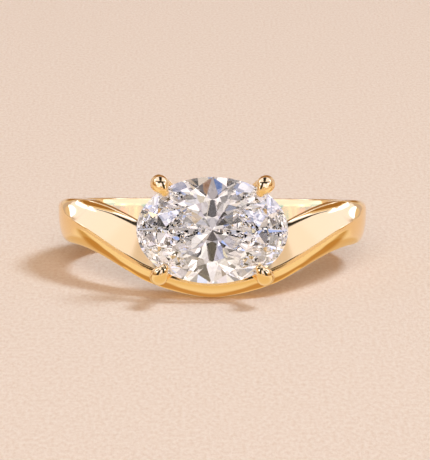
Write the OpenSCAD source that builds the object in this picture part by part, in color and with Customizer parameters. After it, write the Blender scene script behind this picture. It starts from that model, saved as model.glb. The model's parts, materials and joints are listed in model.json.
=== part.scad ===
// East west solitaire ring: a gold band that dips under an oval brilliant set
// sideways in four claws. The ring lies on its side, as it rests by itself.
// Ring coordinates: the finger hole's axis is Z, the stone faces -Y.

/* [Finger hole] */
// Diameter of the finger hole
hole_d = 16.9; // [16:0.1:18]

/* [Band] */
// Diameter over the widest line of the band
band_d = 20.5; // [19.8:0.1:21.5]
// Small easing of the inner edges
edge_ease = 0.08; // [0.05:0.01:0.12]
// Height of the wider easing inside the dip, where the finger bends
dip_ease_h = 0.75; // [0.4:0.05:0.8]
// Depth of that easing, measured along the radius
dip_ease_r = 0.35; // [0.2:0.05:0.4]
// Height of the scoop's upright rim, as a part of the usual one
rim_part = 1; // [0.3:0.1:1.2]
// Angle from the front at which the scoop starts to fade out
scoop_fade_from = 61.5; // [50:0.5:65]
// Angle from the front at which the scoop is gone
scoop_fade_to = 77; // [74:1:100]

/* [Stone] */
// Length of the oval stone, across the finger
stone_l = 9.6; // [8.8:0.1:10]
// Width of the oval stone
stone_w = 6.75; // [6.2:0.05:7]
// Height of the girdle's middle above the finger hole's axis
girdle_d = 12.75; // [12.5:0.05:13.2]
// Height of the stone's centre along the hole's axis, from the band's middle
stone_z = -0.43; // [-0.6:0.01:-0.2]
// Height of the crown
crown_h = 1.05; // [0.9:0.05:1.2]
// Thickness of the girdle
girdle_t = 0.22; // [0.15:0.01:0.3]
// Depth of the pavilion
pavilion_h = 2.95; // [2.7:0.05:3.05]
// Table size as a part of the stone's width
table_part = 0.58; // [0.53:0.01:0.62]

/* [Head] */
// Diameter of the claw wire
claw_d = 1.13; // [1:0.01:1.2]
// Place of the claws around the oval, 90 is the middle of the long side
claw_at = 49.4; // [46:0.2:52]
// How flat the claws' tops are, as a part of their width
claw_top = 0.6; // [0.5:0.05:1]
// Clearance between the stone and its seat
seat_gap = 0.05; // [0.04:0.01:0.08]
// Wire diameter of the gallery rail below the girdle
gallery_wire = 0.75; // [0.6:0.05:0.8]
// Wire diameter of the base rail on the band
base_wire = 0.84; // [0.7:0.02:0.9]

/* [Hidden] */

hole_r = hole_d / 2;
band_r = band_d / 2;
// How far the loft's inner side lies inside the hole, to be bored away
bore_stock = 0.25;

// Band profile, a row for each station from the front (0) to the back (180).
// Columns: angle, top edge z, top edge radius, ridge z, underside z, height of the scoop's upright rim,
// reach of the hollow corner below it
BAND = [
    [0, -1.80, 8.75, -3.80, -4.79, 0.10, 0.70],
    [12, -1.53, 8.75, -3.50, -4.52, 0.10, 0.70],
    [25, -0.63, 8.75, -2.73, -3.90, 0.11, 0.66],
    [34, 0.08, 8.78, -1.97, -3.22, 0.17, 0.60],
    [43, 0.63, 8.85, -1.20, -2.54, 0.29, 0.48],
    [52, 1.04, 9.00, -0.53, -2.02, 0.40, 0.36],
    [63, 1.34, 9.25, 0.04, -1.67, 0.42, 0.30],
    [76, 1.41, 9.50, 0.58, -1.53, 0.38, 0.30],
    [95, 1.40, 9.58, 0.90, -1.50, 0.36, 0.30],
    [135, 1.38, 9.58, 0.90, -1.50, 0.36, 0.30],
    [180, 1.37, 9.58, 0.90, -1.50, 0.36, 0.30],
];
ANGLE = 0;
TOP_Z = 1;
TOP_R = 2;
RIDGE_Z = 3;
UNDER_Z = 4;
RIM = 5;
CORNER = 6;

sections = 96;
scoop_steps = 14;
wall_steps = 9;
under_r = 9.4;
wall_power = 2.5;

function mix(a, b, t) = a + (b - a) * t;
function smooth(t) = let (c = max(0, min(1, t))) c * c * (3 - 2 * c);
function unit(v) = v / norm(v);
function power_x(t, n) = pow(max(0, cos(t)), 2 / n);
function power_y(t, n) = pow(max(0, sin(t)), 2 / n);

// Smooth curve through one column of the band's table
function row_of(a, i = 0) = i >= len(BAND) - 2 || a < BAND[i + 1][ANGLE] ? i : row_of(a, i + 1);
function slope(c, i) = i == 0 || i == len(BAND) - 1 ? 0
    : (BAND[i + 1][c] - BAND[i - 1][c]) / (BAND[i + 1][ANGLE] - BAND[i - 1][ANGLE]);
function band_at(c, a) = let (
        i = row_of(a),
        span = BAND[i + 1][ANGLE] - BAND[i][ANGLE],
        t = (a - BAND[i][ANGLE]) / span
    )
    (2 * t * t * t - 3 * t * t + 1) * BAND[i][c]
    + (t * t * t - 2 * t * t + t) * span * slope(c, i)
    + (3 * t * t - 2 * t * t * t) * BAND[i + 1][c]
    + (t * t * t - t * t) * span * slope(c, i + 1);

// Outline of the band at one angle, as [radius, z], from the inner top edge outwards.
// The scooped face has an upright rim, a hollow corner and a flat run to the ridge.
function hollow_face(s, top, ridge, rim, corner) = let (
        foot = [top[0] + rim * 0.08, top[1] - rim],
        a = foot + unit(top - foot) * min(corner * 0.5, rim * 0.85),
        b = foot + unit(ridge - foot) * corner,
        rise = norm(top - a),
        bend = (norm(a - foot) + corner) * 0.9,
        run = norm(ridge - b),
        at = s * (rise + bend + run),
        t = (at - rise) / bend
    )
    at < rise ? mix(top, a, at / rise)
    : at < rise + bend ? a * (1 - t) * (1 - t) + foot * 2 * t * (1 - t) + b * t * t
    : mix(b, ridge, (at - rise - bend) / run);
function upper_face(s, top, ridge, scoop, rim, corner) = let (
        round = [mix(top[0], ridge[0], power_y(90 * s, 2)), mix(ridge[1], top[1], power_x(90 * s, 2))]
    )
    mix(round, hollow_face(s, top, ridge, rim, corner), scoop);
function outer_wall(s, ridge, low) = [
    mix(low[0], ridge[0], power_x(90 * s, wall_power)),
    mix(ridge[1], low[1], power_y(90 * s, wall_power)),
];
function band_outline(a) = let (
        top = [band_at(TOP_R, a), band_at(TOP_Z, a)],
        ridge = [band_r, band_at(RIDGE_Z, a)],
        low = [under_r, band_at(UNDER_Z, a)],
        scoop = 1 - smooth((a - scoop_fade_from) / (scoop_fade_to - scoop_fade_from)),
        rim = band_at(RIM, a) * rim_part,
        corner = band_at(CORNER, a),
        dip = 1 - smooth(a / 70),
        ease_h = mix(edge_ease, dip_ease_h, dip),
        ease_r = mix(edge_ease, dip_ease_r, dip)
    )
    concat(
        [[hole_r - bore_stock, top[1] - edge_ease - bore_stock]],
        [[hole_r + edge_ease, top[1]]],
        [for (i = [0:scoop_steps]) upper_face(i / scoop_steps, top, ridge, scoop, rim, corner)],
        [for (i = [1:wall_steps]) outer_wall(i / wall_steps, ridge, low)],
        [[hole_r + ease_r, low[1]]],
        [[hole_r - bore_stock, low[1] + ease_h * (1 + bore_stock / ease_r)]]
    );
function around(a, p) = [p[0] * sin(a), -p[0] * cos(a), p[1]];
band_rings = [
    for (i = [0:sections - 1]) let (a = 360 * i / sections)
        [for (p = band_outline(a <= 180 ? a : 360 - a)) around(a, p)]
];

// The ring rests on the dip at the front and on the band's lower edge at the back
front_foot = band_outline(0);
back_foot = band_outline(180);
function drop(p, side, t) = side * p[0] * sin(t) + p[1] * cos(t);
function lowest(outline, side, t) = min([for (p = outline) if (p[0] > hole_r) drop(p, side, t)]);
function level(lo, hi, n = 0) = let (t = (lo + hi) / 2)
    n == 24 ? t
    : lowest(front_foot, 1, t) < lowest(back_foot, -1, t) ? level(t, hi, n + 1) : level(lo, t, n + 1);
rest_tilt = level(0, 30);
floor_z = lowest(front_foot, 1, rest_tilt);
front_y = (girdle_d + girdle_t / 2 + crown_h) * cos(rest_tilt)
    + (stone_w * table_part / 2 - stone_z) * sin(rest_tilt);
back_y = band_r * cos(rest_tilt) + 0.9 * sin(rest_tilt);

// Solid through a list of outlines with the same number of points
module skin(rings, closed) {
    n = len(rings[0]);
    m = len(rings);
    walls = [
        for (i = [0:closed ? m - 1 : m - 2]) for (j = [0:n - 1]) let (
                a = i * n + j,
                b = i * n + (j + 1) % n,
                c = ((i + 1) % m) * n + (j + 1) % n,
                d = ((i + 1) % m) * n + j
            )
            each [[a, c, b], [a, d, c]]
    ];
    ends = closed ? [] : [[for (j = [0:n - 1]) j], [for (j = [n - 1:-1:0]) (m - 1) * n + j]];
    polyhedron(points = [for (r = rings) each r], faces = concat(walls, ends), convexity = 8);
}

// Oval brilliant. A facet's corners follow the round cut, stretched to the oval.
table_r = table_part;
star_r = mix(table_r * cos(22.5), 1, 0.52);
half_r = 0.22;
girdle_steps = 2;
function crown_plane(r) = (1 - r * cos(22.5)) / (1 - table_r);
function polar(r, a, h) = [r * cos(a), r * sin(a), h];

// Rings of corners in unit size: table, star corners, upper girdle, lower girdle, pavilion corners, culet
function stone_points(l, w, top_h, girdle, deep) = let (
        half = girdle / 2,
        stars = [for (k = [0:7]) polar(star_r, 45 * k + 22.5, half + top_h * crown_plane(star_r))],
        keels = [for (k = [0:7]) polar(half_r, 45 * k + 22.5, -half - deep * (1 - half_r * cos(22.5)))],
        count = 16 * girdle_steps,
        upper = [for (i = [0:count - 1]) polar(1, 360 * i / count, half)],
        lower = [for (i = [0:count - 1]) polar(1, 360 * i / count, -half)],
        all = concat(
            [for (k = [0:7]) polar(table_r, 45 * k, half + top_h)],
            stars, upper, lower, keels, [[0, 0, -half - deep]])
    )
    [for (p = all) [p[0] * l / 2, p[1] * w / 2, p[2]]];
function stone_faces() = let (
        count = 16 * girdle_steps,
        up = 16,
        low = up + count,
        keel = low + count,
        culet = keel + 8,
        half = girdle_steps
    )
    concat(
        [[for (k = [0:7]) k]],
        [for (k = [0:7]) each [
            [k, 8 + k, (k + 1) % 8],
            [8 + k, up + 2 * half * ((k + 1) % 8), (k + 1) % 8],
            [8 + k, k, up + 2 * half * k],
            [keel + k, low + 2 * half * k, culet],
            [keel + k, culet, low + 2 * half * ((k + 1) % 8)],
        ]],
        [for (k = [0:7]) for (i = [0:2 * half - 1]) let (
                a = 2 * half * k + i,
                b = (a + 1) % count
            )
            each [
                [8 + k, up + a, up + b],
                [up + a, low + a, low + b],
                [up + a, low + b, up + b],
                [keel + k, low + b, low + a],
            ]]
    );
module brilliant(grow) {
    points = stone_points(stone_l + 2 * grow, stone_w + 2 * grow, crown_h + grow, girdle_t + grow,
        pavilion_h + grow);
    polyhedron(points = points, faces = [for (f = stone_faces()) [for (i = [len(f) - 1:-1:0]) f[i]]],
        convexity = 2);
}

// Head coordinates: X across the finger, Y up the hole's axis, Z out of the finger
module head_frame() {
    translate([0, -girdle_d, stone_z])
        rotate([90, 0, 0])
            children();
}

claw_r = claw_d / 2;
claw_sides = 12;
seat = [stone_l / 2 * cos(claw_at), stone_w / 2 * sin(claw_at), 0];
out_dir = unit([cos(claw_at) / stone_l, sin(claw_at) / stone_w, 0]);
along_dir = [-out_dir[1], out_dir[0], 0];
base_h = hole_r + 0.68 - girdle_d;
base_l = 2.45;
base_w = 1.85;
gallery_h = -1.5;
claw_foot = [base_l * cos(claw_at), base_w * sin(claw_at), base_h - 0.1];

// Claw path, a row for each station. Columns: out from the girdle's edge, height, wire radius
CLAW = [
    [0.38, -0.20, claw_r],
    [0.39, 0.20, claw_r],
    [0.38, 0.46, claw_r],
    [0.26, 0.68, claw_r * 0.93],
    [0.04, 0.78, claw_r * 0.74],
    [-0.20, 0.78, claw_r * 0.50],
    [-0.36, 0.75, claw_r * 0.25],
];
claw_points = concat([claw_foot], [for (c = CLAW) seat + out_dir * c[0] + [0, 0, c[1]]]);
claw_radii = concat([claw_r * 0.86], [for (c = CLAW) c[2]]);

module wire(points, radii, sides, side_dir, flat) {
    last = len(points) - 1;
    rings = [
        for (i = [0:last]) let (
                run = unit(points[min(last, i + 1)] - points[max(0, i - 1)]),
                u = unit(cross(run, side_dir)),
                v = cross(run, u),
                top = mix(1, flat, max(0, u[2]))
            )
            [for (j = [0:sides - 1]) let (a = 360 * j / sides, c = cos(a))
                points[i] + radii[i] * (u * c * (c > 0 ? top : 1) + v * sin(a))]
    ];
    skin(rings, false);
}

// Oval wire ring
module rail(l, w, h, wire_d) {
    around_count = 40;
    sides = 12;
    rings = [
        for (i = [0:around_count - 1]) let (
                a = 360 * i / around_count,
                out = unit([cos(a) / l, sin(a) / w, 0])
            )
            [for (j = [0:sides - 1]) let (b = 360 * j / sides)
                [l * cos(a), w * sin(a), h] + wire_d / 2 * (out * cos(b) - [0, 0, sin(b)])]
    ];
    skin(rings, true);
}

module claws() {
    for (x = [0, 1]) for (y = [0, 1])
        mirror([x, 0, 0])
            mirror([0, y, 0])
                wire(claw_points, claw_radii, claw_sides, along_dir, claw_top);
}

module rails() {
    rail(base_l, base_w, base_h, base_wire);
    rail(3.85, 2.66, gallery_h, gallery_wire);
}

module resting() {
    translate([0, (front_y - back_y) / 2, -floor_z])
        rotate([-rest_tilt, 0, 0])
            children();
}

module band_and_setting() {
    color("goldenrod")
        resting()
            difference() {
                union() {
                    skin(band_rings, true);
                    head_frame()
                        difference() {
                            union() {
                                claws();
                                rails();
                            }
                            brilliant(seat_gap);
                        }
                }
                rotate([0, 0, -90])
                    cylinder(r = hole_r, h = 40, center = true, $fn = 96);
            }
}

module stone() {
    color("lavender")
        resting()
            head_frame()
                brilliant(0);
}

band_and_setting();
stone();
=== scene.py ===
"""East west solitaire ring: a polished gold band that dips under an oval brilliant held in four claws."""

import json
import math

import bmesh
import bpy
from mathutils import Matrix, Vector


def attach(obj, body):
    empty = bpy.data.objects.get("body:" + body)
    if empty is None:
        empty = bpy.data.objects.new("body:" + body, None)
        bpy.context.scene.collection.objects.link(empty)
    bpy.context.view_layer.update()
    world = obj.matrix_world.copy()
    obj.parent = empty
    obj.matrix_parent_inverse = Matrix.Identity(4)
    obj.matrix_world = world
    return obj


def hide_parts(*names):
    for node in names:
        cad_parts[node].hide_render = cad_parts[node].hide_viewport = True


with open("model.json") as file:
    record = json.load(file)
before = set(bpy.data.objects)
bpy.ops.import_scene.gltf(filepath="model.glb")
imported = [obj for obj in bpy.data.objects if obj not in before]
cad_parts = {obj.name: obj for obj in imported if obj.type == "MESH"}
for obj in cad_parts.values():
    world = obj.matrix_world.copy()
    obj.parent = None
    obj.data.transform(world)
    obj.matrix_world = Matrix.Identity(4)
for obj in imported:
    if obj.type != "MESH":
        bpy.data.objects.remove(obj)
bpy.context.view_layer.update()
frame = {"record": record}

bl_info = {
    "name": "East West Ring",
    "version": (1, 0, 0),
    "blender": (4, 5, 0),
    "location": "View3D > Sidebar > Ring",
    "description": "Builds a gold ring with a sideways oval brilliant, and a plain stage for it",
    "category": "Object",
}

MM = 0.001
HOLE = next(m for m in frame["record"]["mounts"] if m["name"] == "finger_hole")
HOLE_RADIUS = HOLE["dims"]["r_mm"]
HOLE_AXIS = Vector(HOLE["axis"]).normalized()
REST_TILT = math.atan2(HOLE_AXIS.y, HOLE_AXIS.z)
# Height of the hole's wall middle above the band's own middle plane, in millimetres
WALL_MIDDLE = -1.355
RING_CENTRE = Vector(HOLE["pos_m"]) - HOLE_AXIS * WALL_MIDDLE * MM
# Ring coordinates: millimetres, the finger hole along Z, the stone towards -Y
RING_TO_FRAME = (
    Matrix.Translation(RING_CENTRE) @ Matrix.Rotation(-REST_TILT, 4, "X") @ Matrix.Scale(MM, 4)
)

# Band profile, a row for each station from the front (0) to the back (180).
# Columns: angle, top edge z, top edge radius, ridge z, underside z, easing of the top edge,
# height of the upright rim, reach of the hollow corner below it
BAND_ROWS = (
    (0, -1.80, 8.75, -3.80, -4.79, 0.07, 0.10, 0.70),
    (12, -1.53, 8.75, -3.50, -4.52, 0.07, 0.10, 0.70),
    (25, -0.63, 8.75, -2.73, -3.90, 0.07, 0.11, 0.66),
    (34, 0.08, 8.78, -1.97, -3.22, 0.07, 0.17, 0.60),
    (43, 0.63, 8.85, -1.20, -2.54, 0.08, 0.29, 0.48),
    (52, 1.04, 9.00, -0.53, -2.02, 0.08, 0.40, 0.36),
    (63, 1.34, 9.25, 0.04, -1.67, 0.10, 0.42, 0.30),
    (76, 1.41, 9.50, 0.58, -1.53, 0.16, 0.38, 0.30),
    (95, 1.40, 9.58, 0.90, -1.50, 0.30, 0.36, 0.30),
    (135, 1.38, 9.58, 0.90, -1.50, 0.36, 0.36, 0.30),
    (180, 1.37, 9.58, 0.90, -1.50, 0.36, 0.36, 0.30),
)
ANGLE, TOP_Z, TOP_R, RIDGE_Z, UNDER_Z, TOP_ROUND, RIM, CORNER = range(8)


# Settings that a user would change

class BandSettings(bpy.types.PropertyGroup):
    outer_diameter: bpy.props.FloatProperty(
        name="Outer diameter", description="Diameter over the widest line of the band, in millimetres",
        default=20.5, min=19.8, max=21.5)
    scoop_depth: bpy.props.FloatProperty(
        name="Scoop depth", description="Height of the scoop's rim, as a part of the usual one",
        default=1.0, min=0.3, max=1.2, subtype="FACTOR")
    ridge_round: bpy.props.FloatProperty(
        name="Ridge rounding", description="Rounding of the ridge below the scoop, in millimetres",
        default=0.02, min=0.02, max=0.2)
    edge_ease: bpy.props.FloatProperty(
        name="Inner easing", description="Rounding of the inner edges, in millimetres",
        default=0.12, min=0.05, max=0.2)


class StoneSettings(bpy.types.PropertyGroup):
    length: bpy.props.FloatProperty(
        name="Length", description="Length of the oval across the finger, in millimetres",
        default=9.6, min=8.8, max=10.0)
    width: bpy.props.FloatProperty(
        name="Width", description="Width of the oval, in millimetres", default=6.75, min=6.2, max=7.0)
    girdle_distance: bpy.props.FloatProperty(
        name="Girdle height", description="Distance of the girdle from the hole's axis, in millimetres",
        default=12.75, min=12.5, max=13.2)
    centre_z: bpy.props.FloatProperty(
        name="Centre height",
        description="Height of the stone's centre along the hole's axis, in millimetres",
        default=-0.43, min=-0.6, max=-0.2)
    crown: bpy.props.FloatProperty(
        name="Crown", description="Height of the crown, in millimetres", default=1.05, min=0.9, max=1.2)
    girdle: bpy.props.FloatProperty(
        name="Girdle", description="Thickness of the girdle, in millimetres", default=0.22, min=0.15, max=0.3)
    pavilion: bpy.props.FloatProperty(
        name="Pavilion", description="Depth of the pavilion, in millimetres", default=2.95, min=2.7, max=3.05)
    table: bpy.props.FloatProperty(
        name="Table", description="Table size as a part of the width", default=0.58, min=0.53, max=0.62,
        subtype="FACTOR")
    refraction: bpy.props.FloatProperty(
        name="Refraction", description="Index of refraction of the stone", default=2.418, min=1.4, max=2.7)


class HeadSettings(bpy.types.PropertyGroup):
    claw_wire: bpy.props.FloatProperty(
        name="Claw wire", description="Diameter of a claw, in millimetres", default=1.13, min=1.0, max=1.2)
    claw_place: bpy.props.FloatProperty(
        name="Claw place", description="Place of the claws around the oval, in degrees from its long axis",
        default=49.4, min=46.0, max=52.0)
    gallery_wire: bpy.props.FloatProperty(
        name="Gallery wire", description="Wire diameter of the gallery rail, in millimetres",
        default=0.75, min=0.6, max=0.8)
    base_wire: bpy.props.FloatProperty(
        name="Base wire", description="Wire diameter of the base rail, in millimetres",
        default=0.84, min=0.7, max=0.9)


class FinishSettings(bpy.types.PropertyGroup):
    gold: bpy.props.FloatVectorProperty(
        name="Gold", description="Colour of the polished yellow gold", subtype="COLOR", size=3,
        default=(1.0, 0.72, 0.35), min=0.0, max=1.0)
    floor: bpy.props.FloatVectorProperty(
        name="Floor", description="Colour of the plain floor", subtype="COLOR", size=3,
        default=(0.84, 0.695, 0.545), min=0.0, max=1.0)


class CameraSettings(bpy.types.PropertyGroup):
    distance: bpy.props.FloatProperty(
        name="Distance", description="Distance of the lens from the ring's middle", subtype="DISTANCE",
        default=0.25, min=0.1, max=1.0)
    rise: bpy.props.FloatProperty(
        name="Rise", description="Angle of the lens above the ring's own plane", subtype="ANGLE",
        default=math.radians(1.0))
    roll: bpy.props.FloatProperty(
        name="Roll", description="Turn of the camera about its own line of sight", subtype="ANGLE",
        default=math.radians(0.35))
    focal_length: bpy.props.FloatProperty(
        name="Focal length", description="Focal length for a 36 mm sensor, in millimetres",
        default=293.5, min=50.0, max=600.0)


# Curves

def mix(a, b, t):
    return a + (b - a) * t


def smooth(t):
    t = max(0.0, min(1.0, t))
    return t * t * (3 - 2 * t)


def row_slope(rows, column, i):
    """Slope of a table's column at row i, level at both ends."""
    if i in (0, len(rows) - 1):
        return 0.0
    return (rows[i + 1][column] - rows[i - 1][column]) / (rows[i + 1][ANGLE] - rows[i - 1][ANGLE])


def band_at(column, angle):
    """Smooth curve through one column of the band's table."""
    rows = BAND_ROWS
    i = max(k for k in range(len(rows) - 1) if rows[k][ANGLE] <= angle or k == 0)
    span = rows[i + 1][ANGLE] - rows[i][ANGLE]
    t = (angle - rows[i][ANGLE]) / span
    return (
        (2 * t**3 - 3 * t**2 + 1) * rows[i][column]
        + (t**3 - 2 * t**2 + t) * span * row_slope(rows, column, i)
        + (3 * t**2 - 2 * t**3) * rows[i + 1][column]
        + (t**3 - t**2) * span * row_slope(rows, column, i + 1)
    )


def rounded_corner(start, start_way, end, end_way, steps, pull=0.40):
    """Points of a cubic curve from start to end, without its two ends."""
    reach = (end - start).length * pull
    a = start + start_way.normalized() * reach
    b = end - end_way.normalized() * reach
    points = []
    for k in range(1, steps):
        t = k / steps
        points.append(
            start * (1 - t) ** 3 + a * 3 * t * (1 - t) ** 2 + b * 3 * t**2 * (1 - t) + end * t**3
        )
    return points


# Mesh helpers

def new_piece(name, bm, material, slot):
    """Puts a ring-coordinate bmesh into the frame as a finished piece that rides on the root."""
    bmesh.ops.transform(bm, matrix=RING_TO_FRAME, verts=bm.verts)
    bmesh.ops.recalc_face_normals(bm, faces=bm.faces)
    mesh = bpy.data.meshes.new(name)
    bm.to_mesh(mesh)
    bm.free()
    mesh.materials.append(material)
    piece = bpy.data.objects.new(name, mesh)
    bpy.context.scene.collection.objects.link(piece)
    # The stone shows the small lights of the room, and not the gold round it
    piece.visible_transmission = slot != "yellow_gold"
    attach(piece, "root")
    return piece


def spun_tube(sides, steps, place):
    """A ring-shaped tube from a spun circle. place(turn, index) gives each point, turn in degrees."""
    middle = 4.0
    bm = bmesh.new()
    circle = bmesh.ops.create_circle(bm, cap_ends=False, radius=1.0, segments=sides)
    bmesh.ops.rotate(bm, verts=circle["verts"], cent=(0, 0, 0), matrix=Matrix.Rotation(math.pi / 2, 3, "X"))
    bmesh.ops.translate(bm, verts=circle["verts"], vec=(middle, 0, 0))
    bmesh.ops.spin(
        bm, geom=bm.verts[:] + bm.edges[:], cent=(0, 0, 0), axis=(0, 0, 1), angle=2 * math.pi,
        steps=steps, use_merge=True, use_duplicate=False)
    bmesh.ops.remove_doubles(bm, verts=bm.verts, dist=1e-5)
    for v in bm.verts:
        turn = math.degrees(math.atan2(v.co.y, v.co.x)) % 360
        radius = math.hypot(v.co.x, v.co.y) - middle
        index = round(math.atan2(v.co.z, radius) / (2 * math.pi) * sides) % sides
        v.co = place(round(turn / 360 * steps) * 360 / steps, index)
    for f in bm.faces:
        f.smooth = True
    return bm


# Band

# Points along each run of the outline, and outlines in a full turn
WALL_POINTS = 6
EASE_POINTS = 7
FLAT_POINTS = 3
TOP_POINTS = 8
SCOOP_POINTS = 32
RIDGE_POINTS = 8
SIDE_POINTS = 24
LOW_POINTS = 5
BAND_TURNS = 288
# Radius where the outer wall meets the underside, and how full that wall is
UNDER_R = 9.4
SIDE_POWER = 2.5
# Part of the outer wall that the ridge's rounding takes up
RIDGE_SHARE = 0.02
# Angles where the scoop starts to fade and where it has gone, and where the dip's own rounding has gone
SCOOP_FADE = (61.5, 77.0)
DIP_END = 70
# Rounding of the lower inner edge at the middle of the dip, across and up, in millimetres
DIP_EASE = (0.35, 0.75)


def hollow_face(s, top, ridge, rim, corner):
    """Point of the scooped face: an upright rim, a hollow corner, then a flat run to the ridge."""
    foot = Vector((top.x + rim * 0.08, top.y - rim))
    up = (top - foot).normalized()
    along = (ridge - foot).normalized()
    a = foot + up * min(corner * 0.5, rim * 0.85)
    b = foot + along * corner
    parts = ((top - a).length, ((a - foot).length + corner) * 0.9, (ridge - b).length)
    at = s * sum(parts)
    if at < parts[0]:
        return top.lerp(a, at / parts[0])
    if at < parts[0] + parts[1]:
        t = (at - parts[0]) / parts[1]
        return a * (1 - t) ** 2 + foot * 2 * t * (1 - t) + b * t**2
    return b.lerp(ridge, (at - parts[0] - parts[1]) / parts[2])


def upper_face(s, top, ridge, scoop, rim, corner):
    turn = math.radians(90 * s)
    rounded = Vector((mix(top.x, ridge.x, math.sin(turn)), mix(ridge.y, top.y, math.cos(turn))))
    return rounded.lerp(hollow_face(s, top, ridge, rim, corner), scoop)


def side_wall(s, ridge, low):
    turn = math.radians(90 * s)
    power = 2 / SIDE_POWER
    across = max(0.0, math.cos(turn)) ** power
    return Vector((mix(low.x, ridge.x, across), mix(ridge.y, low.y, math.sin(turn) ** power)))


def curve_way(curve, s):
    return curve(min(1.0, s + 0.004)) - curve(max(0.0, s - 0.004))


def band_outline(angle, band):
    """Closed outline of the band at one angle, as (radius, z), always with the same number of points."""
    top = Vector((band_at(TOP_R, angle), band_at(TOP_Z, angle)))
    ridge = Vector((band.outer_diameter / 2, band_at(RIDGE_Z, angle)))
    low = Vector((UNDER_R, band_at(UNDER_Z, angle)))
    scoop = 1 - smooth((angle - SCOOP_FADE[0]) / (SCOOP_FADE[1] - SCOOP_FADE[0]))
    dip = 1 - smooth(angle / DIP_END)
    rim = band_at(RIM, angle) * band.scoop_depth
    corner = band_at(CORNER, angle)
    ease = band.edge_ease
    low_ease = Vector((mix(ease, DIP_EASE[0], dip), mix(ease, DIP_EASE[1], dip)))
    up = Vector((0, 1))
    out = Vector((1, 0))

    def face(s):
        return upper_face(s, top, ridge, scoop, rim, corner)

    def side(s):
        return side_wall(s, ridge, low)

    reach = (ridge - top).length
    top_round = band_at(TOP_ROUND, angle)
    first = top_round / reach
    last = 1 - band.ridge_round / reach
    bottom = Vector((HOLE_RADIUS, low.y + low_ease.y))
    ceiling = Vector((HOLE_RADIUS, top.y - ease))
    flat_in = Vector((HOLE_RADIUS + ease, top.y))
    flat_out = Vector((max(flat_in.x + 0.04, top.x - top_round * 0.6), top.y))
    points = [bottom.lerp(ceiling, k / (WALL_POINTS - 1)) for k in range(WALL_POINTS)]
    points += rounded_corner(ceiling, up, flat_in, out, EASE_POINTS, 0.39)
    points += [flat_in.lerp(flat_out, k / (FLAT_POINTS - 1)) for k in range(FLAT_POINTS)]
    points += rounded_corner(flat_out, out, face(first), curve_way(face, first), TOP_POINTS)
    points += [face(mix(first, last, k / (SCOOP_POINTS - 1))) for k in range(SCOOP_POINTS)]
    points += rounded_corner(
        face(last), curve_way(face, last), side(RIDGE_SHARE), curve_way(side, RIDGE_SHARE), RIDGE_POINTS)
    points += [side(mix(RIDGE_SHARE, 1.0, k / (SIDE_POINTS - 1))) for k in range(SIDE_POINTS)]
    under = Vector((HOLE_RADIUS + low_ease.x, low.y))
    points += [low.lerp(under, k / LOW_POINTS) for k in range(1, LOW_POINTS)]
    points += [under]
    points += rounded_corner(under, -out, bottom, up, EASE_POINTS + 3, 0.45)
    return points


class RING_OT_band(bpy.types.Operator):
    """Lathes the band and shapes its dip, scoop and ridge"""

    bl_idname = "ring.band"
    bl_label = "Band"

    def execute(self, context):
        band = context.scene.ring_band
        outlines = {}
        for k in range(BAND_TURNS // 2 + 1):
            outlines[k] = band_outline(360 * k / BAND_TURNS, band)

        def place(turn, index):
            k = round(turn / 360 * BAND_TURNS) % BAND_TURNS
            p = outlines[min(k, BAND_TURNS - k)][index]
            a = math.radians(turn)
            return Vector((p.x * math.sin(a), -p.x * math.cos(a), p.y))

        bm = spun_tube(len(outlines[0]), BAND_TURNS, place)
        piece = new_piece("band", bm, gold_finish(context), "yellow_gold")
        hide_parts("band_and_setting")
        return {"FINISHED"}


# Head coordinates: X along the stone, Y up the hole's axis, Z out of the finger

def head_matrix(stone):
    return Matrix.Translation((0, -stone.girdle_distance, stone.centre_z)) @ Matrix.Rotation(
        math.pi / 2, 4, "X")


# Half lengths and half widths of the rails, the base rail's height above the hole's wall and the gallery
# rail's depth below the girdle, in millimetres
BASE_RAIL = (2.45, 1.85)
GALLERY_RAIL = (3.85, 2.66)
BASE_ABOVE_HOLE = 0.68
GALLERY_DEPTH = 1.5
RAIL_TURNS = 144
RAIL_SIDES = 24
# Claw path, a row for each station. Columns: out from the girdle's edge, height, part of the wire's radius
CLAW_ROWS = (
    (0.38, -0.20, 1.00),
    (0.39, 0.20, 1.00),
    (0.38, 0.46, 1.00),
    (0.26, 0.68, 0.93),
    (0.04, 0.78, 0.74),
    (-0.20, 0.78, 0.50),
)
# How flat the top of a claw is, as a part of its width
CLAW_TOP = 0.6
CLAW_SIDES = 32
CLAW_SPAN_STEPS = 8
CLAW_TIP_STEPS = 6
# Parts of the wire's radius at the claw's foot and halfway up
CLAW_FOOT_SIZES = (0.86, 0.93)
# How far a claw's foot reaches below the base rail's middle, and the clearance of its seat, in millimetres
CLAW_FOOT_DEPTH = 0.1
SEAT_GAP = 0.04


def rail_mesh(length, width, height, wire):
    def place(turn, index):
        a = math.radians(turn)
        b = 2 * math.pi * index / RAIL_SIDES
        out = Vector((math.cos(a) / length, math.sin(a) / width, 0)).normalized()
        middle = Vector((length * math.cos(a), width * math.sin(a), height))
        return middle + (out * math.cos(b) + Vector((0, 0, math.sin(b)))) * wire / 2

    return spun_tube(RAIL_SIDES, RAIL_TURNS, place)


class RING_OT_rails(bpy.types.Operator):
    """Makes the oval base rail and the oval gallery rail"""

    bl_idname = "ring.rails"
    bl_label = "Rails"

    def execute(self, context):
        stone = context.scene.ring_stone
        head = context.scene.ring_head
        base_height = HOLE_RADIUS + BASE_ABOVE_HOLE - stone.girdle_distance
        for name, size, height, wire in (
            ("base_rail", BASE_RAIL, base_height, head.base_wire),
            ("gallery_rail", GALLERY_RAIL, -GALLERY_DEPTH, head.gallery_wire),
        ):
            bm = rail_mesh(size[0], size[1], height, wire)
            bmesh.ops.transform(bm, matrix=head_matrix(stone), verts=bm.verts)
            new_piece(name, bm, gold_finish(context), "yellow_gold")
        return {"FINISHED"}


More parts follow.
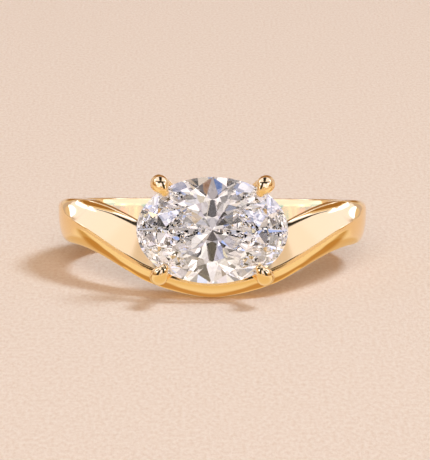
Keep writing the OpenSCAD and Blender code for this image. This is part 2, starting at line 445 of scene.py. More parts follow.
def catmull(points, per_span):
    """Smooth path through points, each a Vector of any size."""
    path = []
    last = len(points) - 1
    for i in range(last):
        p = [points[max(0, i - 1)], points[i], points[i + 1], points[min(last, i + 2)]]
        for k in range(per_span):
            t = k / per_span
            path.append(
                (p[1] * 2 + (p[2] - p[0]) * t + (p[0] * 2 - p[1] * 5 + p[2] * 4 - p[3]) * t**2
                 + (p[1] * 3 - p[0] - p[2] * 3 + p[3]) * t**3) * 0.5)
    return path + [points[last]]


def claw_stations(stone, head):
    """Path of one claw as 4D points, the last number being the radius."""
    place = math.radians(head.claw_place)
    seat = Vector((stone.length / 2 * math.cos(place), stone.width / 2 * math.sin(place), 0))
    out = Vector((math.cos(place) / stone.length, math.sin(place) / stone.width, 0)).normalized()
    radius = head.claw_wire / 2
    base_height = HOLE_RADIUS + BASE_ABOVE_HOLE - CLAW_FOOT_DEPTH - stone.girdle_distance
    foot = Vector((BASE_RAIL[0] * math.cos(place), BASE_RAIL[1] * math.sin(place), base_height))
    knee = seat + out * CLAW_ROWS[0][0] + Vector((0, 0, CLAW_ROWS[0][1]))
    rows = [foot.to_4d(), foot.lerp(knee, 0.5).to_4d()]
    rows[0].w = radius * CLAW_FOOT_SIZES[0]
    rows[1].w = radius * CLAW_FOOT_SIZES[1]
    for reach, height, size in CLAW_ROWS:
        p = (seat + out * reach + Vector((0, 0, height))).to_4d()
        p.w = radius * size
        rows.append(p)
    return rows, Vector((-out.y, out.x, 0))


def seat_in(v, planes, gap):
    """Moves a point that lies in the stone, or closer to it than the gap, out through the nearest facet."""
    deepest = max(planes, key=lambda p: p[0].dot(v) - p[1])
    inside = deepest[0].dot(v) - deepest[1]
    return v + deepest[0] * (gap - inside) if inside < gap else v


def claw_mesh(stone, head):
    stations, across = claw_stations(stone, head)
    path = catmull(stations, CLAW_SPAN_STEPS)
    tip = path[-1]
    way = (tip.to_3d() - path[-2].to_3d()).normalized()
    for k in range(1, CLAW_TIP_STEPS):
        turn = math.pi / 2 * k / CLAW_TIP_STEPS
        p = (tip.to_3d() + way * tip.w * math.sin(turn)).to_4d()
        p.w = tip.w * math.cos(turn)
        path.append(p)
    bm = bmesh.new()
    ring = bmesh.ops.create_circle(bm, cap_ends=True, radius=1.0, segments=CLAW_SIDES)["verts"]
    edges = bm.edges[:]
    centre = Vector((0, 0, 0))
    frame_now = Matrix.Identity(3)
    levels = []
    last = len(path) - 1
    for i, p in enumerate(path):
        if i:
            made = bmesh.ops.extrude_edge_only(bm, edges=edges)["geom"]
            ring = [g for g in made if isinstance(g, bmesh.types.BMVert)]
            edges = [g for g in made if isinstance(g, bmesh.types.BMEdge)]
        run = (path[min(last, i + 1)].to_3d() - path[max(0, i - 1)].to_3d()).normalized()
        if i >= last - CLAW_TIP_STEPS + 2:
            run = way
        u = run.cross(across).normalized()
        turn = Matrix((u, run.cross(u), run)).transposed()
        move = turn @ frame_now.inverted()
        size = p.w / (path[i - 1].w if i else 1.0)
        for v in ring:
            v.co = p.to_3d() + move @ (v.co - centre) * size
        centre = p.to_3d()
        frame_now = turn
        levels.append((ring, centre, u, mix(1, CLAW_TOP, max(0.0, u.z))))
    bmesh.ops.edgeloop_fill(bm, edges=edges)
    for ring, centre, top_way, flat in levels:
        for v in ring:
            rise = (v.co - centre).dot(top_way)
            if rise > 0:
                v.co -= top_way * rise * (1 - flat)
    planes = stone_planes(stone)
    for v in bm.verts:
        v.co = seat_in(v.co, planes, SEAT_GAP)
    for f in bm.faces:
        f.smooth = True
    return bm


class RING_OT_claws(bpy.types.Operator):
    """Makes the four claws and fits their seats to the stone"""

    bl_idname = "ring.claws"
    bl_label = "Claws"

    def execute(self, context):
        stone = context.scene.ring_stone
        head = context.scene.ring_head
        names = {(1, 1): "claw_upper_right", (-1, 1): "claw_upper_left",
                 (1, -1): "claw_lower_right", (-1, -1): "claw_lower_left"}
        for (x, y), name in names.items():
            bm = claw_mesh(stone, head)
            bmesh.ops.scale(bm, vec=(x, y, 1), verts=bm.verts)
            bmesh.ops.transform(bm, matrix=head_matrix(stone), verts=bm.verts)
            new_piece(name, bm, gold_finish(context), "yellow_gold")
        return {"FINISHED"}


# Stone

# How far the stars reach from the table to the girdle, and the radius where the lower halves end, as parts
STAR_REACH = 0.52
LOWER_HALF_R = 0.22
GIRDLE_SEGMENTS = 96


def polar(radius, degrees, height):
    a = math.radians(degrees)
    return Vector((radius * math.cos(a), radius * math.sin(a), height))


def facet_points(stone):
    """Three corners of every facet of the round cut, at unit radius, before it is stretched to the oval."""
    half = stone.girdle / 2
    top = half + stone.crown
    table = stone.table
    star_r = mix(table * math.cos(math.radians(22.5)), 1, STAR_REACH)
    star_z = half + stone.crown * (1 - star_r * math.cos(math.radians(22.5))) / (1 - table)
    keel_z = -half - stone.pavilion * (1 - LOWER_HALF_R * math.cos(math.radians(22.5)))
    culet = Vector((0, 0, -half - stone.pavilion))
    facets = [(polar(table, 0, top), polar(table, 90, top), polar(table, 180, top))]
    for k in range(8):
        at = 45 * k
        star = polar(star_r, at + 22.5, star_z)
        before = polar(star_r, at - 22.5, star_z)
        keel = polar(LOWER_HALF_R, at + 22.5, keel_z)
        facets += [
            (polar(table, at, top), star, polar(table, at + 45, top)),
            (polar(table, at, top), before, star),
            (star, polar(1, at, half), polar(1, at + 22.5, half)),
            (star, polar(1, at + 22.5, half), polar(1, at + 45, half)),
            (culet, keel, polar(1, at, -half)),
            (keel, polar(1, at + 22.5, -half), polar(1, at, -half)),
            (keel, polar(1, at + 45, -half), polar(1, at + 22.5, -half)),
        ]
    return facets


def stone_planes(stone, girdle_too=True):
    """Outward normal and distance of every facet of the oval, and of the girdle's sides."""
    stretch = Vector((stone.length / 2, stone.width / 2, 1))
    planes = []
    for facet in facet_points(stone):
        a, b, c = (Vector((p.x * stretch.x, p.y * stretch.y, p.z)) for p in facet)
        normal = (b - a).cross(c - a).normalized()
        if normal.dot(a) < 0:
            normal = -normal
        planes.append((normal, normal.dot(a)))
    if girdle_too:
        for k in range(GIRDLE_SEGMENTS):
            a = 2 * math.pi * (k + 0.5) / GIRDLE_SEGMENTS
            point = Vector((stretch.x * math.cos(a), stretch.y * math.sin(a), 0))
            normal = Vector((math.cos(a) / stretch.x, math.sin(a) / stretch.y, 0)).normalized()
            planes.append((normal, normal.dot(point)))
    return planes


class RING_OT_stone(bpy.types.Operator):
    """Cuts the oval brilliant out of a drum, one plane for each facet"""

    bl_idname = "ring.stone"
    bl_label = "Stone"

    def execute(self, context):
        stone = context.scene.ring_stone
        bm = bmesh.new()
        bmesh.ops.create_cone(
            bm, cap_ends=True, cap_tris=False, segments=GIRDLE_SEGMENTS, radius1=1.0, radius2=1.0,
            depth=2 * (stone.pavilion + stone.girdle + 0.5))
        bmesh.ops.scale(bm, vec=(stone.length / 2, stone.width / 2, 1), verts=bm.verts)
        for normal, distance in stone_planes(stone, girdle_too=False):
            cut = bmesh.ops.bisect_plane(
                bm, geom=bm.verts[:] + bm.edges[:] + bm.faces[:], dist=1e-6,
                plane_co=normal * distance, plane_no=normal, clear_outer=True)
            edges = [g for g in cut["geom_cut"] if isinstance(g, bmesh.types.BMEdge)]
            if len(edges) > 2:
                bmesh.ops.edgeloop_fill(bm, edges=edges)
        bmesh.ops.remove_doubles(bm, verts=bm.verts, dist=1e-4)
        bmesh.ops.transform(bm, matrix=head_matrix(stone), verts=bm.verts)
        piece = new_piece("oval_brilliant", bm, stone_finish(context), "clear_stone")
        # A clear stone lets the light through, so its own shadow is left out
        piece.visible_shadow = False
        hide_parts("stone")
        return {"FINISHED"}


# Finishes

def fresh_material(name):
    material = bpy.data.materials.new(name)
    material.use_nodes = True
    nodes = material.node_tree.nodes
    nodes.clear()
    return material, nodes, material.node_tree.links


def gold_finish(context):
    """Polished yellow gold with hairline wear and a faint polish ripple."""
    found = bpy.data.materials.get("polished_gold")
    if found:
        return found
    material, nodes, links = fresh_material("polished_gold")
    output = nodes.new("ShaderNodeOutputMaterial")
    gold = nodes.new("ShaderNodeBsdfPrincipled")
    gold.inputs["Metallic"].default_value = 1.0
    links.new(gold.outputs["BSDF"], output.inputs["Surface"])
    place = nodes.new("ShaderNodeTexCoord")
    tone = nodes.new("ShaderNodeTexNoise")
    tone.inputs["Scale"].default_value = 260.0
    tone.inputs["Detail"].default_value = 3.0
    links.new(place.outputs["Object"], tone.inputs["Vector"])
    colour = nodes.new("ShaderNodeMix")
    colour.data_type = "RGBA"
    base = context.scene.ring_finish.gold
    colour.inputs["A"].default_value = (base[0], base[1], base[2], 1)
    colour.inputs["B"].default_value = (base[0], base[1] * 0.97, base[2] * 0.92, 1)
    links.new(tone.outputs["Fac"], colour.inputs["Factor"])
    links.new(colour.outputs["Result"], gold.inputs["Base Color"])
    polish = nodes.new("ShaderNodeMapRange")
    polish.inputs["To Min"].default_value = 0.05
    polish.inputs["To Max"].default_value = 0.11
    links.new(tone.outputs["Fac"], polish.inputs["Value"])
    links.new(polish.outputs["Result"], gold.inputs["Roughness"])
    ripple = nodes.new("ShaderNodeTexNoise")
    ripple.inputs["Scale"].default_value = 900.0
    ripple.inputs["Detail"].default_value = 2.0
    links.new(place.outputs["Object"], ripple.inputs["Vector"])
    bump = nodes.new("ShaderNodeBump")
    bump.inputs["Strength"].default_value = 0.04
    bump.inputs["Distance"].default_value = 0.00002
    links.new(ripple.outputs["Fac"], bump.inputs["Height"])
    links.new(bump.outputs["Normal"], gold.inputs["Normal"])
    return material


def stone_finish(context):
    """Colourless cut stone, perfectly clear and polished."""
    material, nodes, links = fresh_material("cut_stone")
    output = nodes.new("ShaderNodeOutputMaterial")
    clear = nodes.new("ShaderNodeBsdfPrincipled")
    clear.inputs["Base Color"].default_value = (1, 1, 1, 1)
    clear.inputs["Roughness"].default_value = 0.0
    clear.inputs["Transmission Weight"].default_value = 1.0
    clear.inputs["IOR"].default_value = context.scene.ring_stone.refraction
    links.new(clear.outputs["BSDF"], output.inputs["Surface"])
    return material


# Painted glow and painted shadow on the floor that only the gold's reflections show: pale glowing patches,
# and brown stripes painted where the ring's shadow lies. Columns: x and y of one end and of the other,
# inner and outer distance, all in millimetres, colour. They are the same on the left and the right.
PAINTED_FLOOR_GLOW_AND_SHADOW = (
    (0, -17, 27, -3, 9, 13, (0.97, 0.87, 0.72)),
    (0, -17, 4, -17, 4, 9, (0.86, 0.68, 0.44)),
    (0, 0, 9, 0, 5, 8, (0.75, 0.55, 0.34)),
    (26, 5, 18, -1, 0.8, 4.4, (0.62, 0.41, 0.19)),
    (18, -1, 12, -4, 1.2, 3.2, (0.54, 0.30, 0.10)),
    (12, -4, 4, -8.2, 0.7, 1.9, (0.56, 0.32, 0.12)),
    (4, -8.6, 0, -8.3, 0.3, 0.9, (0.58, 0.33, 0.13)),
    (7, -5.6, 2, -7.4, 0.2, 0.8, (0.93, 0.68, 0.34)),
)


def floor_finish(context):
    """Plain pale floor with a fine matt nap, and painted glow and painted shadow that only reflections show.
    """
    material, nodes, links = fresh_material("pale_floor")
    output = nodes.new("ShaderNodeOutputMaterial")
    cloth = nodes.new("ShaderNodeBsdfPrincipled")
    cloth.inputs["Roughness"].default_value = 0.95
    cloth.inputs["Specular IOR Level"].default_value = 0.1
    place = nodes.new("ShaderNodeTexCoord")
    nap = nodes.new("ShaderNodeTexNoise")
    nap.inputs["Scale"].default_value = 4200.0
    nap.inputs["Detail"].default_value = 5.0
    nap.inputs["Roughness"].default_value = 0.65
    fibres = vector_node(nodes, links, "MULTIPLY", place.outputs["Object"], (1, 0.4, 1))
    links.new(fibres.outputs["Vector"], nap.inputs["Vector"])
    base = context.scene.ring_finish.floor
    tone = nodes.new("ShaderNodeMix")
    tone.data_type = "RGBA"
    tone.inputs["A"].default_value = (base[0] * 0.90, base[1] * 0.83, base[2] * 0.77, 1)
    tone.inputs["B"].default_value = (base[0], base[1], base[2], 1)
    spread = nodes.new("ShaderNodeMapRange")
    spread.inputs["From Min"].default_value = 0.32
    spread.inputs["From Max"].default_value = 0.62
    links.new(nap.outputs["Fac"], spread.inputs["Value"])
    links.new(spread.outputs["Result"], tone.inputs["Factor"])
    links.new(tone.outputs["Result"], cloth.inputs["Base Color"])
    bump = nodes.new("ShaderNodeBump")
    bump.inputs["Strength"].default_value = 0.3
    bump.inputs["Distance"].default_value = 0.0002
    links.new(nap.outputs["Fac"], bump.inputs["Height"])
    links.new(bump.outputs["Normal"], cloth.inputs["Normal"])
    # Painted light and painted shadow: the floor glows with these patches for glossy rays alone, so only the
    # gold's reflections show them
    spot = vector_node(nodes, links, "MULTIPLY", place.outputs["Object"], (1 / MM, 1 / MM, 0))
    patches = [(Vector((x1, y1, 0)), Vector((x2, y2, 0)), inner, outer, colour)
               for x1, y1, x2, y2, inner, outer, colour in PAINTED_FLOOR_GLOW_AND_SHADOW]
    colour, cover = painted(nodes, links, mirrored(nodes, links, spot.outputs["Vector"]), patches)
    painted_light_mask = nodes.new("ShaderNodeMath")
    painted_light_mask.operation = "MULTIPLY"
    links.new(cover, painted_light_mask.inputs[0])
    links.new(nodes.new("ShaderNodeLightPath").outputs["Is Glossy Ray"], painted_light_mask.inputs[1])
    painted_glow = nodes.new("ShaderNodeEmission")
    links.new(colour, painted_glow.inputs["Color"])
    both = nodes.new("ShaderNodeMixShader")
    links.new(painted_light_mask.outputs["Value"], both.inputs["Fac"])
    links.new(cloth.outputs["BSDF"], both.inputs[1])
    links.new(painted_glow.outputs["Emission"], both.inputs[2])
    links.new(both.outputs["Shader"], output.inputs["Surface"])
    return material


# Stage

IMAGE_SIZE = (430, 460)
# Where the ring's middle shows in the picture, in pixels from its top left corner
RING_PIXEL = (212.3, 220.0)

# Soft lights and dark gaps of the room, later rows over earlier ones, the same on the left and the right.
# Columns: azimuth and elevation of one end and of the other, inner and outer radius, all in degrees, colour.
# Azimuth 0 is behind the ring, 90 beside it, 180 towards the camera.
ROOM_LIGHT = (0.80, 0.68, 0.58)
FLOOR_LIGHT = (0.39, 0.27, 0.178)
CREAM = (1.10, 1.17, 1.72)
WHITE = (2.0, 2.4, 4.0)
BROWN = (0.38, 0.20, 0.07)
DARK = (0.03, 0.03, 0.03)
LIGHT_ROWS = (
    (0, 90, 0, 90, 56, 62, CREAM),
    (165, 52, 180, 58, 18, 25, (0.90, 0.83, 0.81)),
    (0, 14, 8, 24, 11, 19, BROWN),
    (38, 8, 38, 27, 6, 9, (0.60, 0.51, 0.54)),
    (48, 31, 55, 33, 2.8, 4.6, WHITE),
    (50, 36, 54, 40, 2.8, 4.2, WHITE),
    (58, 36, 68, 25, 2.0, 3.6, WHITE),
    (100, 32, 118, 35, 4, 6.5, WHITE),
    (60, 17, 62, 5, 5, 9, BROWN),
    (62, 5, 82, 5, 5, 9, BROWN),
    (82, 5, 118, 8, 5, 9, BROWN),
    (90, 67, 112, 72, 1, 10, (1.06, 1.10, 1.54)),
    (70, 37, 80, 40, 1.4, 3.0, DARK),
    (80, 40, 90, 45, 2.6, 4.2, DARK),
    (90, 45, 100, 52, 4.2, 5.6, DARK),
    (100, 52, 112, 58, 4.8, 6.2, DARK),
    (180, 80, 180, 80, 7, 11, (0.24, 0.22, 0.24)),
    (180, 24, 180, 40, 11, 15, (1.1, 1.25, 2.2)),
    (138, 3, 140, 25, 15, 19, DARK),
    (140, 25, 138, 42, 12, 16, DARK),
    (130, 57, 180, 66, 10, 13, DARK),
    (0, 52, 0, 75, 10, 13, DARK),
    (0, 75, 60, 84, 8, 11, DARK),
    (122, 75, 132, 75, 0.8, 3.0, (0.80, 0.74, 0.86)),
    (180, 9, 180, 9, 3.5, 5, DARK),
)
# Single lights and dark gaps that the middle of the stone shows. Columns: azimuth, elevation, radius, colour
STONE_ROWS = (
    (180, -11, 6, (0.01, 0.01, 0.01)),
    (180, 52, 5, (0.10, 0.08, 0.08)),
    (180, 36, 3, (0.08, 0.07, 0.07)),
    (180, -28, 5, (0.66, 0.60, 0.62)),
    (180, 28, 4, (0.44, 0.38, 0.38)),
    (167, 31, 4, (0.34, 0.15, 0.05)),
    (193, 31, 4, (0.10, 0.20, 0.50)),
    (155, 44, 5, (0.92, 0.76, 0.62)),
    (136, -11, 5, (1.15, 1.04, 0.98)),
    (180, -4, 3, (1.05, 0.95, 0.96)),
    (45, -8, 5, (0.62, 0.54, 0.50)),
    (-45, -8, 5, (0.70, 0.60, 0.54)),
    (-20, 6, 6, (0.25, 0.23, 0.25)),
    (20, 6, 6, (0.30, 0.24, 0.22)),
    (-150, 5, 6, (0.28, 0.25, 0.26)),
    (-23, -28, 6, (0.42, 0.34, 0.32)),
)
# Brightness and tint of the many small lights in the stone. Columns: position on a ramp, value there
SPARKLE_LEVELS = (
    (0.0, 0.01), (0.10, 0.12), (0.22, 0.42), (0.34, 0.76), (0.52, 1.0), (0.80, 1.3), (1.0, 2.5),
)
SPARKLE_TINTS = (
    (0.0, (0.98, 0.85, 0.80)),
    (0.28, (1, 0.91, 0.83)),
    (0.44, (0.88, 0.77, 0.84)),
    (0.58, (0.98, 0.80, 0.66)),
    (0.72, (0.94, 0.84, 0.84)),
    (0.80, (0.70, 0.76, 0.98)),
    (0.84, (1, 0.84, 0.50)),
    (0.90, (0.80, 0.58, 0.40)),
    (0.97, (0.42, 0.55, 1)),
)
# Fineness of their pattern, and the part of the pattern that is used
SPARKLE_SCALE = 9.0
SPARKLE_SHIFT = (3.1, 1.7, 5.2)
# Light that has crossed the stone many times: ray depths where it starts to even out and where that ends,
# how much it evens out, and the colour that it turns to
EVEN_DEPTHS = (5, 9)
EVEN_SHARE = 0.3
EVEN_COLOUR = (0.78, 0.67, 0.62)


def direction(azimuth, elevation):
    a = math.radians(azimuth)
    e = math.radians(elevation)
    return Vector((math.sin(a) * math.cos(e), math.cos(a) * math.cos(e), math.sin(e)))


def vector_node(nodes, links, operation, first, second=None):
    node = nodes.new("ShaderNodeVectorMath")
    node.operation = operation
    for socket, value in zip(node.inputs, (first, second)):
        if isinstance(value, bpy.types.NodeSocket):
            links.new(value, socket)
        elif value is not None:
            socket.default_value = value
    return node


def chord(degrees):
    return 2 * math.sin(math.radians(degrees) / 2)


def near_line(nodes, links, place, start, end, inner, outer):
    """One inside the inner distance from the line between two points, nothing beyond the outer distance."""
    run = end - start
    offset = vector_node(nodes, links, "SUBTRACT", place, start).outputs["Vector"]
    if run.length > 1e-6:
        along = vector_node(nodes, links, "DOT_PRODUCT", offset, run / run.length_squared).outputs["Value"]
        held = nodes.new("ShaderNodeClamp")
        links.new(along, held.inputs["Value"])
        step = vector_node(nodes, links, "SCALE", run)
        links.new(held.outputs["Result"], step.inputs["Scale"])
        offset = vector_node(nodes, links, "SUBTRACT", offset, step.outputs["Vector"]).outputs["Vector"]
    away = vector_node(nodes, links, "LENGTH", offset).outputs["Value"]
    edge = nodes.new("ShaderNodeMapRange")
    edge.interpolation_type = "SMOOTHSTEP"
    edge.inputs["From Min"].default_value = outer
    edge.inputs["From Max"].default_value = inner
    links.new(away, edge.inputs["Value"])
    return edge.outputs["Result"]


def laid_over(nodes, links, now, factor, colour):
    blend = nodes.new("ShaderNodeMix")
    blend.data_type = "RGBA"
    links.new(factor, blend.inputs["Factor"])
    links.new(now, blend.inputs["A"])
    blend.inputs["B"].default_value = (*colour, 1)
    return blend.outputs["Result"]


def sky_patches(rows):
    return [
        (direction(az1, el1), direction(az2, el2), chord(inner), chord(outer), colour)
        for az1, el1, az2, el2, inner, outer, colour in rows
    ]


def painted(nodes, links, place, patches, now=None):
    """Lays soft patches over each other. Gives their colour, and how much they cover."""
    cover = None
    for start, end, inner, outer, colour in patches:
        factor = near_line(nodes, links, place, start, end, inner, outer)
        if now is None:
            plain = nodes.new("ShaderNodeRGB")
            plain.outputs[0].default_value = (*colour, 1)
            now = plain.outputs[0]
        else:
            now = laid_over(nodes, links, now, factor, colour)
        if cover is None:
            cover = factor
        else:
            more = nodes.new("ShaderNodeMath")
            more.operation = "MAXIMUM"
            links.new(cover, more.inputs[0])
            links.new(factor, more.inputs[1])
            cover = more.outputs["Value"]
    return now, cover


def mirrored(nodes, links, place):
    """The place with its left side folded onto the right."""
    folded = vector_node(nodes, links, "ABSOLUTE", place).outputs["Vector"]
    both = nodes.new("ShaderNodeSeparateXYZ")
    links.new(folded, both.inputs["Vector"])
    own = nodes.new("ShaderNodeSeparateXYZ")
    links.new(place, own.inputs["Vector"])
    joined = nodes.new("ShaderNodeCombineXYZ")
    links.new(both.outputs["X"], joined.inputs["X"])
    links.new(own.outputs["Y"], joined.inputs["Y"])
    links.new(own.outputs["Z"], joined.inputs["Z"])
    return joined.outputs["Vector"]


def soft_room(nodes, links, place):
    """Colour of the room in each direction, from the plain walls and the soft lights over them."""
    plain = nodes.new("ShaderNodeRGB")
    plain.outputs[0].default_value = (*ROOM_LIGHT, 1)
    return painted(nodes, links, mirrored(nodes, links, place), sky_patches(LIGHT_ROWS), plain.outputs[0])[0]


def colour_ramp(nodes, rows):
    ramp = nodes.new("ShaderNodeValToRGB")
    steps = ramp.color_ramp
    while len(steps.elements) < len(rows):
        steps.elements.new(0.5)
    for element, (at, colour) in zip(steps.elements, rows):
        element.position = at
        element.color = (*colour, 1) if isinstance(colour, tuple) else (colour, colour, colour, 1)
    return ramp


def small_lights(nodes, links, place):
    """Many small lights of different brightness and faint tints, as the stone shows a busy room."""
    shifted = vector_node(nodes, links, "ADD", place, SPARKLE_SHIFT)
    cells = nodes.new("ShaderNodeTexVoronoi")
    cells.inputs["Scale"].default_value = SPARKLE_SCALE
    links.new(shifted.outputs["Vector"], cells.inputs["Vector"])
    parts = nodes.new("ShaderNodeSeparateColor")
    links.new(cells.outputs["Color"], parts.inputs["Color"])
    level = colour_ramp(nodes, SPARKLE_LEVELS)
    links.new(parts.outputs["Red"], level.inputs["Fac"])
    tint = colour_ramp(nodes, SPARKLE_TINTS)
    links.new(parts.outputs["Green"], tint.inputs["Fac"])
    total = nodes.new("ShaderNodeMix")
    total.data_type = "RGBA"
    total.blend_type = "MULTIPLY"
    total.inputs["Factor"].default_value = 1.0
    links.new(level.outputs["Color"], total.inputs["A"])
    links.new(tint.outputs["Color"], total.inputs["B"])
    return total.outputs["Result"]


def sparkle(nodes, links, place):
    """What the stone shows of the room: the small lights, and single lights and gaps among them."""
    now = small_lights(nodes, links, place)
    for azimuth, elevation, radius, colour in STONE_ROWS:
        there = direction(azimuth, elevation)
        factor = near_line(nodes, links, place, there, there, chord(radius * 0.9), chord(radius))
        now = laid_over(nodes, links, now, factor, colour)
    return evened(nodes, links, now)


def evened(nodes, links, now):
    """Light that has crossed the stone many times shows less of the single lights."""
    path = nodes.new("ShaderNodeLightPath")
    share = nodes.new("ShaderNodeMapRange")
    share.inputs["From Min"].default_value, share.inputs["From Max"].default_value = EVEN_DEPTHS
    share.inputs["To Max"].default_value = EVEN_SHARE
    links.new(path.outputs["Ray Depth"], share.inputs["Value"])
    return laid_over(nodes, links, now, share.outputs["Result"], EVEN_COLOUR)


def light_room(scene):
    """World light: the soft room for the gold, one plain colour for the floor, small lights for the stone."""
    world = bpy.data.worlds.new("room")
    scene.world = world
    world.use_nodes = True
    nodes = world.node_tree.nodes
    links = world.node_tree.links
    nodes.clear()
    output = nodes.new("ShaderNodeOutputWorld")
    sky = nodes.new("ShaderNodeBackground")
    links.new(sky.outputs["Background"], output.inputs["Surface"])
    place = nodes.new("ShaderNodeTexCoord").outputs["Generated"]
    path = nodes.new("ShaderNodeLightPath")
    room = soft_room(nodes, links, place)
    room = laid_over(nodes, links, room, path.outputs["Is Diffuse Ray"], FLOOR_LIGHT)
    blend = nodes.new("ShaderNodeMix")
    blend.data_type = "RGBA"
    links.new(path.outputs["Is Transmission Ray"], blend.inputs["Factor"])
    links.new(room, blend.inputs["A"])
    links.new(sparkle(nodes, links, place), blend.inputs["B"])
    links.new(blend.outputs["Result"], sky.inputs["Color"])


# Area lights that light the floor and cast the ring's shadow. Neither the gold nor the stone shows them.
# Columns: name, azimuth, elevation, size in metres, watts, colour
WINDOWS = (
    ("side_window", 108, 58, 0.64, 33.0, (0.50, 0.66, 0.88)),
    ("front_window", 180, 28, 1.20, 27.3, (1.0, 0.925, 0.875)),
)
WINDOW_DISTANCE = 2.0
# Half the side of the square floor, in metres
FLOOR_HALF_SIZE = 1.0


def add_windows(scene):
    for name, azimuth, elevation, size, watts, colour in WINDOWS:
        light = bpy.data.lights.new(name, "AREA")
        light.shape = "DISK"
        light.size = size
        light.energy = watts
        light.color = colour
        lamp = bpy.data.objects.new(name, light)
        scene.collection.objects.link(lamp)
        towards = direction(azimuth, elevation)
        lamp.location = RING_CENTRE + towards * WINDOW_DISTANCE
        lamp.rotation_mode = "QUATERNION"
        lamp.rotation_quaternion = towards.to_track_quat("Z", "Y")
        lamp.visible_glossy = False
        lamp.visible_transmission = False


def add_camera(scene, settings):
    camera = bpy.data.objects.new("camera", bpy.data.cameras.new("camera"))
    scene.collection.objects.link(camera)
    scene.camera = camera
    camera.data.sensor_width = 36.0
    camera.data.lens = settings.focal_length
    camera.data.clip_start = 0.01
    camera.data.clip_end = 10.0
    pixels = settings.focal_length / camera.data.sensor_width * max(IMAGE_SIZE)
    turn = RING_TO_FRAME.to_3x3().normalized()
    back = turn @ Vector((0, -math.cos(settings.rise), math.sin(settings.rise)))
    side = Vector((1, 0, 0))
    up = side.cross(back) * -1
    right_offset = (IMAGE_SIZE[0] / 2 - RING_PIXEL[0]) / pixels
    down_offset = (IMAGE_SIZE[1] / 2 - RING_PIXEL[1]) / pixels
    aim = (-back + side * right_offset - up * down_offset).normalized()
    camera.location = RING_CENTRE + back * settings.distance
    camera.rotation_mode = "QUATERNION"
    look = aim.to_track_quat("-Z", "Y")
    camera.rotation_quaternion = look @ Matrix.Rotation(settings.roll, 3, "Z").to_quaternion()


def add_small_light(scene, name, place, facing, across, along, round_shape, colour):
    """A flat light close to the ring that only reflections show, as bright as its colour says."""
    light = bpy.data.lights.new(name, "AREA")
    light.shape = "DISK" if round_shape else "RECTANGLE"
    light.size = across
    if not round_shape:
        light.size_y = along
    light.color = colour
    # A surface that glows with its colour gives off pi times its area in watts
    light.energy = math.pi * across * along * (math.pi / 4 if round_shape else 1)
    lamp = bpy.data.objects.new(name, light)
    scene.collection.objects.link(lamp)
    lamp.location = place
    lamp.rotation_mode = "QUATERNION"
    lamp.rotation_quaternion = facing
    lamp.visible_camera = False
    lamp.visible_diffuse = False
    lamp.visible_transmission = False


# Flat lights across the middle of the finger hole, facing left and right, so that its wall shows paler
# than the gold on its other side. Columns: z of the lower and of the upper edge in millimetres, colour
HOLE_LIGHTS = (
    (-1.0, 0.88, (0.28, 0.68, 1.25)),
    (0.88, 3.2, (0.66, 1.06, 1.70)),
)
# Distance of their front edge behind the hole's axis, and of each from the hole's middle, in millimetres
HOLE_LIGHT_FRONT = 2.6
HOLE_LIGHT_APART = 0.02
# Round lights in front of the upper claws' tips: direction for the left one, distance and size, millimetres
CLAW_LIGHT_DIRECTION = (217, 20)
CLAW_LIGHT_DISTANCE = 5.0
CLAW_LIGHT_SIZE = 4.4
CLAW_LIGHT_COLOUR = (1.0, 1.15, 1.75)
# Middle of a claw's tip from the first of the claw rows, outwards and up, in millimetres
CLAW_TIP_FROM_ROW = (-0.13, 0.65)


def add_hole_lights(scene):
    width = (HOLE_RADIUS - HOLE_LIGHT_FRONT) * MM
    for low, high, colour in HOLE_LIGHTS:
        for side in (-1, 1):
            middle = Vector((side * HOLE_LIGHT_APART, (HOLE_RADIUS + HOLE_LIGHT_FRONT) / 2, (low + high) / 2))
            facing = RING_TO_FRAME.to_quaternion() @ Vector((side, 0, 0)).to_track_quat("-Z", "Y")
            add_small_light(
                scene, "hole_light", RING_TO_FRAME @ middle, facing, width, (high - low) * MM, False, colour)


def add_claw_lights(scene):
    stations, across = claw_stations(scene.ring_stone, scene.ring_head)
    out = Vector((across.y, -across.x, 0))
    tip = stations[2].to_3d() + out * CLAW_TIP_FROM_ROW[0] + Vector((0, 0, CLAW_TIP_FROM_ROW[1]))
    for side in (-1, 1):
        middle = RING_TO_FRAME @ head_matrix(scene.ring_stone) @ Vector((side * tip.x, tip.y, tip.z))
        towards = direction(*CLAW_LIGHT_DIRECTION)
        towards.x *= -side
        add_small_light(
            scene, "claw_light", middle + towards * CLAW_LIGHT_DISTANCE * MM, towards.to_track_quat("Z", "Y"),
            CLAW_LIGHT_SIZE * MM, CLAW_LIGHT_SIZE * MM, True, CLAW_LIGHT_COLOUR)


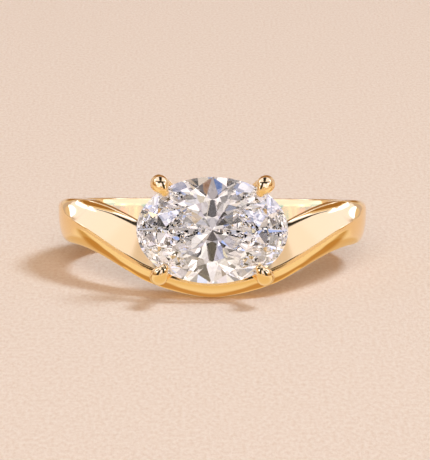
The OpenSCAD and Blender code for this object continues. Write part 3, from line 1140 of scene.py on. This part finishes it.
class RING_OT_stage(bpy.types.Operator):
    """Makes the camera, the plain floor and the soft light"""

    bl_idname = "ring.stage"
    bl_label = "Stage"

    def execute(self, context):
        scene = context.scene
        add_camera(scene, scene.ring_camera)
        light_room(scene)
        add_windows(scene)
        add_hole_lights(scene)
        add_claw_lights(scene)
        bm = bmesh.new()
        bmesh.ops.create_grid(bm, x_segments=1, y_segments=1, size=FLOOR_HALF_SIZE)
        mesh = bpy.data.meshes.new("floor")
        bm.to_mesh(mesh)
        bm.free()
        mesh.materials.append(floor_finish(context))
        floor = bpy.data.objects.new("floor", mesh)
        scene.collection.objects.link(floor)
        floor.visible_transmission = False
        scene.view_settings.view_transform = "Standard"
        scene.cycles.max_bounces = 24
        scene.cycles.glossy_bounces = 20
        scene.cycles.transmission_bounces = 24
        scene.cycles.caustics_reflective = True
        scene.cycles.caustics_refractive = True
        return {"FINISHED"}


class RING_PT_panel(bpy.types.Panel):
    bl_label = "East West Ring"
    bl_idname = "RING_PT_panel"
    bl_space_type = "VIEW_3D"
    bl_region_type = "UI"
    bl_category = "Ring"

    def draw(self, context):
        for name in SETTINGS:
            group = getattr(context.scene, name)
            box = self.layout.box()
            for prop in group.bl_rna.properties:
                if prop.identifier not in {"rna_type", "name"}:
                    box.prop(group, prop.identifier)
        for operator in OPERATORS:
            self.layout.operator(operator.bl_idname)


SETTINGS = {
    "ring_band": BandSettings,
    "ring_stone": StoneSettings,
    "ring_head": HeadSettings,
    "ring_finish": FinishSettings,
    "ring_camera": CameraSettings,
}
OPERATORS = (RING_OT_band, RING_OT_rails, RING_OT_claws, RING_OT_stone, RING_OT_stage)


def register():
    for group in SETTINGS.values():
        bpy.utils.register_class(group)
    for name, group in SETTINGS.items():
        setattr(bpy.types.Scene, name, bpy.props.PointerProperty(type=group))
    for operator in OPERATORS:
        bpy.utils.register_class(operator)
    bpy.utils.register_class(RING_PT_panel)


def unregister():
    bpy.utils.unregister_class(RING_PT_panel)
    for operator in reversed(OPERATORS):
        bpy.utils.unregister_class(operator)
    for name, group in SETTINGS.items():
        delattr(bpy.types.Scene, name)
        bpy.utils.unregister_class(group)


def main():
    register()
    bpy.ops.ring.band()
    bpy.ops.ring.rails()
    bpy.ops.ring.claws()
    bpy.ops.ring.stone()
    bpy.ops.ring.stage()


if __name__ == "__main__":
    main()
